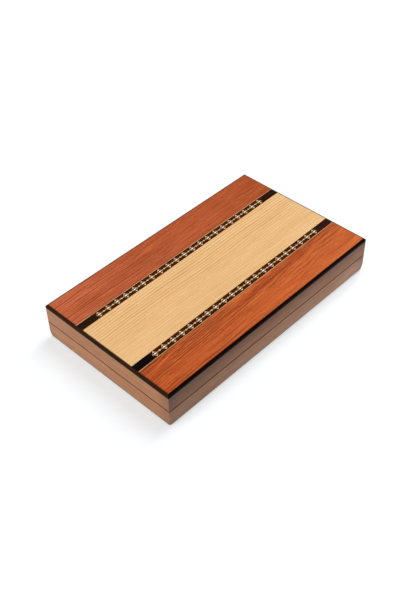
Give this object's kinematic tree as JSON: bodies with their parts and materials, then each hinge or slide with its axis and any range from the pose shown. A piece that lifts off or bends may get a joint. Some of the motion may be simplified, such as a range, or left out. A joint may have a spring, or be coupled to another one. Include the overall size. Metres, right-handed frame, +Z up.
{
  "type": "backgammon board",
  "caption": "Closed folding backgammon board: two hinged wooden trays with inlaid bands on the lid, inlaid playing fields, racks, checkers and dice inside.",
  "frame": {"origin": "middle of the base's underside, where the closed board rests", "axes": "+X along the length to the right, +Y to the hinges at the back, -Y to the front where it opens, +Z up through the lid"},
  "size_m": [0.48, 0.2827, 0.072],
  "materials": {
    "walnut": "satin lacquer over plain brown wood",
    "padauk": "satin lacquer over red-orange veneer with dark streaks",
    "oak": "satin lacquer over pale straight-grained veneer",
    "ebony": "satin black wood",
    "rosewood": "dark brown ground of the inlaid bands",
    "maple": "pale inlaid diamond frames, small diamonds and lines",
    "holly": "white inlaid lozenges",
    "brass": "polished brass of the hinges and screws",
    "nickel": "bright nickel plate of the magnets",
    "checker_light": "turned pale wood, satin",
    "checker_dark": "turned dark wood, satin",
    "dice": "ivory coloured with dark pips"
  },
  "bodies": {
    "base": {"base_front_rail": "walnut", "base_back_rail": "walnut", "base_left_rail": "walnut", "base_right_rail": "walnut", "base_panel": "walnut", "base_field": "oak", "base_points_red": "padauk", "base_points_black": "ebony", "base_divider": "walnut", "base_partitions": "walnut", "left_hinge_base_leaf": "brass", "left_hinge_pin": "brass", "right_hinge_base_leaf": "brass", "right_hinge_pin": "brass", "base_hinge_screws": "brass", "base_magnets": "nickel", "light_checkers": "checker_light", "dark_checkers": "checker_dark", "dice": "dice"},
    "lid": {"lid_front_rail": "walnut", "lid_back_rail": "walnut", "lid_left_rail": "walnut", "lid_right_rail": "walnut", "lid_panel": "oak", "lid_field": "oak", "lid_points_red": "padauk", "lid_points_black": "ebony", "lid_divider": "walnut", "lid_partitions": "walnut", "front_edging": "ebony", "back_edging": "ebony", "left_edging": "ebony", "right_edging": "ebony", "front_red_veneer": "padauk", "back_red_veneer": "padauk", "centre_veneer": "oak", "front_band_ends": "ebony", "front_band_ground": "rosewood", "front_band_diamonds": "maple", "front_band_lozenges": "holly", "front_string_line": "maple", "back_band_ends": "ebony", "back_band_ground": "rosewood", "back_band_diamonds": "maple", "back_band_lozenges": "holly", "back_string_line": "maple", "left_hinge_lid_leaf": "brass", "right_hinge_lid_leaf": "brass", "lid_hinge_screws": "brass", "lid_magnets": "nickel"}
  },
  "joints": [
    {"name": "lid_hinge", "type": "hinge", "parent": "base", "child": "lid", "pos_m": [0, 0.14015, 0.036], "axis": [-1, 0, 0], "range_deg": [0, 180]}
  ]
}
